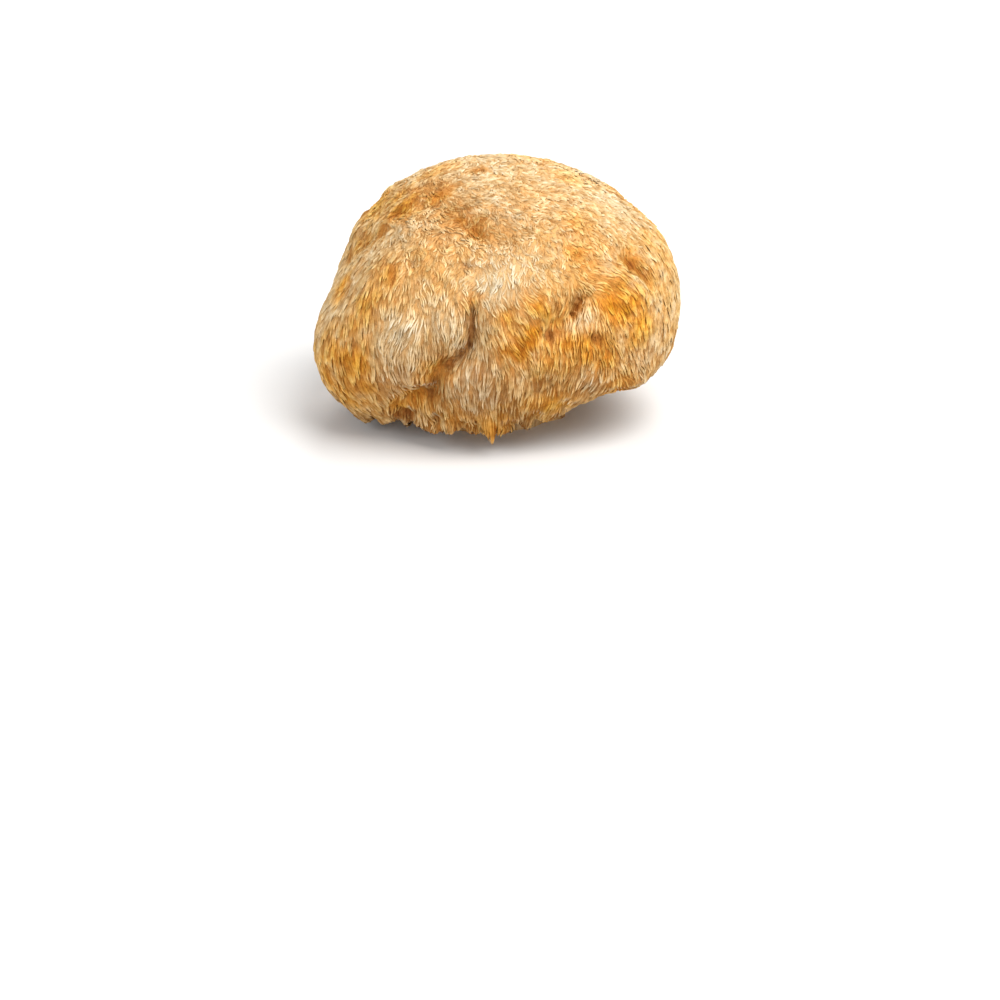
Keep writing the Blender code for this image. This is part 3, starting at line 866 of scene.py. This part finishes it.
def closed_faces(rings):
    """Faces over this many rings of corners, with one corner before and one after them."""
    faces = []
    last = 1 + (rings - 1) * SKIN_TURNS
    for i in range(SKIN_TURNS):
        j = (i + 1) % SKIN_TURNS
        faces.append((0, 1 + i, 1 + j))
        for a in range(1, last, SKIN_TURNS):
            b = a + SKIN_TURNS
            faces.append((a + i, b + i, b + j, a + j))
        faces.append((last + i, last + SKIN_TURNS, last + j))
    return faces


def make_skin(form, solid):
    """The closed skin under the spines, with the bare hollow, the stub and its cut."""
    bare, foot = bare_rings(form, solid)
    cut = [foot * share for share in np.linspace(1, 0, CUT_RINGS + 1)[1:-1]]
    rows = [*furred_rings(form), *bare, *cut]
    top = out_at(form.tree, 0, 90) + (0, 0, SKIN_HEIGHT[1])
    corners = np.concatenate([[top], *rows, [(0, 0, 0)]])
    mesh = bpy.data.meshes.new("skin")
    mesh.from_pydata(corners.tolist(), [], closed_faces(len(rows)))
    for look in (skin_material(), bare_material(), cut_material()):
        mesh.materials.append(look)
    elevation = elevation_of(np.array([p.center for p in mesh.polygons]))
    for face, e in zip(mesh.polygons, elevation):
        flat = face.center.z < CUT_BELOW
        face.material_index = 2 if flat else 1 if e < BARE_FROM else 0
    add_values(mesh, colour_marks(corners, form.tree))
    mesh.validate()
    mesh.shade_smooth()
    mesh.set_sharp_from_angle(angle=SHARP)
    return link("skin", mesh)


# ---- materials

# The flesh at the root, the middle and the tip of a spine. The darker roots are partly painted
# shade between the spines, and partly a paler outer layer.
PLAIN_COLOURS = ((0.53, 0.27, 0.075), (0.80, 0.55, 0.26), (0.87, 0.69, 0.42))
AMBER_COLOURS = ((0.52, 0.16, 0.012), (0.88, 0.42, 0.032), (0.97, 0.63, 0.09))
RUST_COLOURS = ((0.36, 0.10, 0.008), (0.62, 0.235, 0.028), (0.78, 0.38, 0.07))
PALE_COLOURS = ((0.56, 0.34, 0.13), (0.78, 0.68, 0.49), (0.84, 0.80, 0.69))
# The colour of the painted shade in folds and pits.
PAINTED_SHADE_COLOUR = (0.29, 0.10, 0.02)
LOW_SHADE_TINT = (0.95, 0.89, 0.84)  # painted shade: darker and browner lower down
# Painted shade between the spines low down, at their roots.
LOW_ROOT_SHADE_COLOUR = (0.36, 0.16, 0.04)
BLACK, WHITE = (0, 0, 0), (1, 1, 1)

HIGH_STRENGTH, RIM_HIGHLIGHT_STRENGTH = 0.6, 0.7  # of the pale colour high up, partly painted light from above, and of the painted highlight on the lip's edge
SKIN_TOP = 0.25  # height in the layer of spines whose colour the skin reaches

# Random changes of the flesh: lumps a metre of the noise, then strength or tint.
AMBER_DRIFT, BROWNING = 170, 0.4
PALE_DRIFT, BLEACHING = 260, 0.45
SPECKLES, SPECKLE_TINT = 900, (0.64, 0.55, 0.43)
PATCHES, PATCH_TINT = 420, (0.78, 0.74, 0.66)
MOTTLING, PALE_LOSS = 0.8, 0.4
DULL_TONE, MIDDLE_TONE = (0.60, 0.51, 0.41), (0.91, 0.87, 0.82)

# The bare flesh and the cut, from dark to light, and the tints of what darkens them, each
# with the lumps a metre of its noise and how it is stretched upright.
BARE_COLOURS = ((0.44, 0.23, 0.09), (0.64, 0.40, 0.18), (0.80, 0.58, 0.32))
CUT_COLOURS = ((0.34, 0.17, 0.06), (0.62, 0.41, 0.20), (0.78, 0.60, 0.36))
BARE_DRIFT, CUT_DRIFT = 240, 420
GROOVES, GROOVE_STRETCH, GROOVE_TINT = 480, (1, 1, 0.3), (0.68, 0.58, 0.47)
FIBRES, FIBRE_STRETCH, FIBRE_TINT = 1500, (1, 1, 0.22), (0.70, 0.62, 0.52)
PORES, PORE_TINT = 1500, (0.45, 0.36, 0.28)
BARE_TINTING = 0.9

SPINE_ROUGHNESS, SKIN_ROUGHNESS, FLOOR_ROUGHNESS = 0.75, 0.85, 0.9
SPECULAR = 0.06
# Bumps: lumps a metre of their noise, and their height and strength.
SPINE_GRAIN, SKIN_GRAIN, CUT_GRAIN = 2600, 1300, 900
SPINE_BUMP, SKIN_BUMP, BARE_BUMP = (0.03 * MM, 0.4), (0.3 * MM, 0.8), (0.9 * MM, 1.0)


class Nodes:
    """A material's node tree, with short ways to add to it."""

    def __init__(self, name, roughness):
        self.material = bpy.data.materials.new(name)
        self.material.use_nodes = True
        self.tree = self.material.node_tree
        self.shader = self.tree.nodes["Principled BSDF"]
        self.shader.inputs["Roughness"].default_value = roughness
        self.shader.inputs["Specular IOR Level"].default_value = SPECULAR

    def put(self, value, socket):
        """Links a socket's value, or sets a constant."""
        if isinstance(value, bpy.types.NodeSocket):
            self.tree.links.new(value, socket)
        elif isinstance(value, tuple) and len(value) == 3 and len(socket.default_value) == 4:
            socket.default_value = (*value, 1)
        else:
            socket.default_value = value

    def add(self, kind, inputs=(), **settings):
        node = self.tree.nodes.new(kind)
        for key, value in settings.items():
            setattr(node, key, value)
        for name, value in dict(inputs).items():
            self.put(value, node.inputs[name])
        return node

    def attribute(self, name):
        return self.add("ShaderNodeAttribute", attribute_name=name).outputs["Fac"]

    def ramp(self, factor, *stops):
        node = self.add("ShaderNodeValToRGB", {"Fac": factor})
        elements = node.color_ramp.elements
        while len(elements) < len(stops):
            elements.new(0.5)
        for element, (place, colour) in zip(elements, stops):
            element.position = place
            element.color = (*colour, 1)
        return node.outputs["Color"]

    def graded(self, factor, colours, places=(0.0, 0.5, 1.0)):
        return self.ramp(factor, *zip(places, colours))

    def blend(self, factor, a, b, kind="MIX"):
        node = self.add("ShaderNodeMixRGB", {0: factor, 1: a, 2: b}, blend_type=kind)
        return node.outputs[0]

    def tinted(self, factor, colour, tint):
        return self.blend(factor, colour, tint, "MULTIPLY")

    def maths(self, kind, a, b):
        return self.add("ShaderNodeMath", {0: a, 1: b}, operation=kind).outputs[0]

    def times(self, a, b):
        return self.maths("MULTIPLY", a, b)

    def noise(self, scale, detail=3.0, stretch=(1, 1, 1)):
        """Noise from 0 to 1 in lumps of 1 / scale metres."""
        place = self.add("ShaderNodeTexCoord").outputs["Object"]
        mapped = self.add("ShaderNodeMapping", {"Vector": place, "Scale": stretch}).outputs[0]
        node = self.add("ShaderNodeTexNoise", {"Vector": mapped, "Scale": scale, "Detail": detail})
        return node.outputs["Fac"]

    def bump(self, height, distance, strength):
        inputs = {"Height": height, "Distance": distance, "Strength": strength}
        self.put(self.add("ShaderNodeBump", inputs).outputs[0], self.shader.inputs["Normal"])

    def finish(self, colour):
        self.put(colour, self.shader.inputs["Base Color"])
        return self.material


def marked(m, height):
    """The flesh's colour at this height in the layer of spines, with its marks."""
    layers = (PLAIN_COLOURS, AMBER_COLOURS, RUST_COLOURS, PALE_COLOURS)
    plain, amber, rust, pale = (m.graded(height, colours) for colours in layers)
    browned = m.ramp(m.noise(AMBER_DRIFT), (0.36, BLACK), (0.66, WHITE))
    bleached = m.ramp(m.noise(PALE_DRIFT), (0.46, BLACK), (0.70, WHITE))
    colour = m.blend(m.times(browned, BROWNING), plain, amber)
    colour = m.blend(m.times(bleached, BLEACHING), colour, pale)
    # Paler high up: partly the flesh's own colour, partly painted light from above.
    colour = m.blend(m.times(m.attribute("high"), HIGH_STRENGTH), colour, pale)
    # Paler flesh, with a few painted highlights.
    colour = m.blend(m.attribute("pale"), colour, pale)
    # Painted shade lower down, darker still between the spines at their roots.
    low = m.attribute("low")
    colour = m.blend(low, colour, m.tinted(1.0, colour, LOW_SHADE_TINT))
    deep = m.ramp(height, (0.15, WHITE), (0.75, BLACK))
    colour = m.blend(m.times(low, deep), colour, LOW_ROOT_SHADE_COLOUR)
    colour = m.blend(m.attribute("amber"), colour, amber)
    colour = m.blend(m.attribute("rust"), colour, rust)
    # Painted shade in the folds and pits.
    colour = m.blend(m.attribute("painted_shade"), colour, PAINTED_SHADE_COLOUR)
    # Painted highlight along the lip's edge at the front.
    return m.blend(m.times(m.attribute("rim"), RIM_HIGHLIGHT_STRENGTH), colour, PALE_COLOURS[1])


def spine_material():
    m = Nodes("dried_spines", SPINE_ROUGHNESS)
    colour = marked(m, m.attribute("height"))
    speckles = m.ramp(m.noise(SPECKLES), (0.34, SPECKLE_TINT), (0.58, WHITE))
    patches = m.ramp(m.noise(PATCHES, 2.0), (0.38, PATCH_TINT), (0.56, WHITE))
    mottling = m.maths("SUBTRACT", MOTTLING, m.times(m.attribute("pale"), PALE_LOSS))
    colour = m.tinted(mottling, colour, speckles)
    colour = m.tinted(mottling, colour, patches)
    tone = m.graded(m.attribute("tone"), (DULL_TONE, MIDDLE_TONE, WHITE))
    m.bump(m.noise(SPINE_GRAIN, 2.0), *SPINE_BUMP)
    return m.finish(m.tinted(1.0, colour, tone))


def skin_material():
    m = Nodes("dried_skin", SKIN_ROUGHNESS)
    grain = m.noise(SKIN_GRAIN, 4.0)
    m.bump(grain, *SKIN_BUMP)
    return m.finish(marked(m, m.times(grain, SKIN_TOP)))


def bare_material():
    """Dried flesh with soft upright grooves and fibres, of the hollow and the stub."""
    m = Nodes("dried_hollow", SKIN_ROUGHNESS)
    colour = m.graded(m.noise(BARE_DRIFT, 5.0), BARE_COLOURS, (0.32, 0.5, 0.7))
    grooves = m.noise(GROOVES, 5.0, GROOVE_STRETCH)
    fibres = m.noise(FIBRES, 3.0, FIBRE_STRETCH)
    dark_grooves = m.ramp(grooves, (0.34, GROOVE_TINT), (0.54, WHITE))
    dark_fibres = m.ramp(fibres, (0.34, FIBRE_TINT), (0.58, WHITE))
    colour = m.tinted(BARE_TINTING, colour, dark_grooves)
    m.bump(m.maths("ADD", fibres, grooves), *BARE_BUMP)
    return m.finish(m.tinted(BARE_TINTING, colour, dark_fibres))


def cut_material():
    m = Nodes("dried_cut", SKIN_ROUGHNESS)
    colour = m.graded(m.noise(CUT_DRIFT, 5.0), CUT_COLOURS, (0.32, 0.5, 0.68))
    pores = m.ramp(m.noise(PORES, 2.0), (0.42, PORE_TINT), (0.52, WHITE))
    m.bump(m.noise(CUT_GRAIN, 4.0), *SKIN_BUMP)
    return m.finish(m.tinted(BARE_TINTING, colour, pores))


# ---- the head is built

solid = node_tree(NODE)
form = Form(solid)
roots = find_roots(form)
lock, middles = find_locks(roots)
paths, heights, faced, rims = grow_spines(form, roots, lock)
paths = hung(gathered(paths, lock, middles), form.tree)
tone = draw(lock, 0, 1, own=0.5)
values = {"height": heights, "tone": np.repeat(tone[:, None], SPINE_RINGS + 1, axis=1)}
values |= colour_marks(paths, form.tree)
# A painted highlight along the lip's edge, on the front where the light falls.
values["rim"] = rims * ramp(paths[..., 1], *LIP_HIGHLIGHT_FRONT)
radii = mix(*RADIUS, felted(roots)) * draw(lock, *RADII, own=0.7)
spine_look = spine_material()
pieces = [make_skin(form, solid)]
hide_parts(NODE)
for name, inside in zones(roots).items():
    own = {key: value[inside] for key, value in values.items()}
    piece = spine_mesh(name, paths[inside], radii[inside], faced[inside], own)
    piece.data.materials.append(spine_look)
    pieces.append(piece)
for piece in pieces:
    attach(piece, "root")


# ---- floor, light, view

FLOOR_SIZE, FLOOR_COLOUR = 6, (0.70, 0.70, 0.70)
WORLD_STRENGTH = 0.46
# Name, place, size, power and colour.
LIGHTS = (
    ("key", (0.56, -0.42, 1.0), 1.1, 19.3, (1.0, 0.99, 0.97)),
    ("fill", (-0.9, -0.8, 0.6), 0.9, 8.8, (0.98, 0.99, 1.0)),
    ("back", (0.1, 0.9, 0.8), 0.6, 7.0, (1.0, 0.98, 0.95)),
    ("low", (0.8, -0.8, 0.25), 0.7, 2.4, (1.0, 0.98, 0.95)),
)


def make_floor():
    bpy.ops.mesh.primitive_plane_add(size=FLOOR_SIZE, location=(0, 0, 0))
    floor = bpy.context.object
    floor.name = "floor"
    floor.data.materials.append(Nodes("floor", FLOOR_ROUGHNESS).finish(FLOOR_COLOUR))


def make_light(name, place, size, power, colour):
    light = bpy.data.lights.new(name, "AREA")
    light.shape = "DISK"
    light.size = size
    light.energy = power
    light.color = colour
    obj = link(name, light)
    obj.location = place
    obj.rotation_euler = (HEAD_CENTRE - Vector(place)).to_track_quat("-Z", "Y").to_euler()


def make_camera():
    camera = bpy.data.cameras.new("camera")
    camera.sensor_width = SENSOR
    camera.lens = SENSOR * CAMERA_DISTANCE / (PHOTO_PIXELS * PIXEL_SIZE)
    camera.clip_start = 10 * MM
    obj = link("camera", camera)
    obj.location = CAMERA_PLACE
    obj.rotation_euler = Euler((math.pi / 2 - CAMERA_ELEVATION, 0, 0))
    bpy.context.scene.camera = obj


def make_world():
    world = bpy.data.worlds.new("soft_white")
    world.use_nodes = True
    background = world.node_tree.nodes["Background"]
    background.inputs["Color"].default_value = (1, 1, 1, 1)
    background.inputs["Strength"].default_value = WORLD_STRENGTH
    bpy.context.scene.world = world
    bpy.context.scene.view_settings.view_transform = "Standard"


make_floor()
for light in LIGHTS:
    make_light(*light)
make_camera()
make_world()
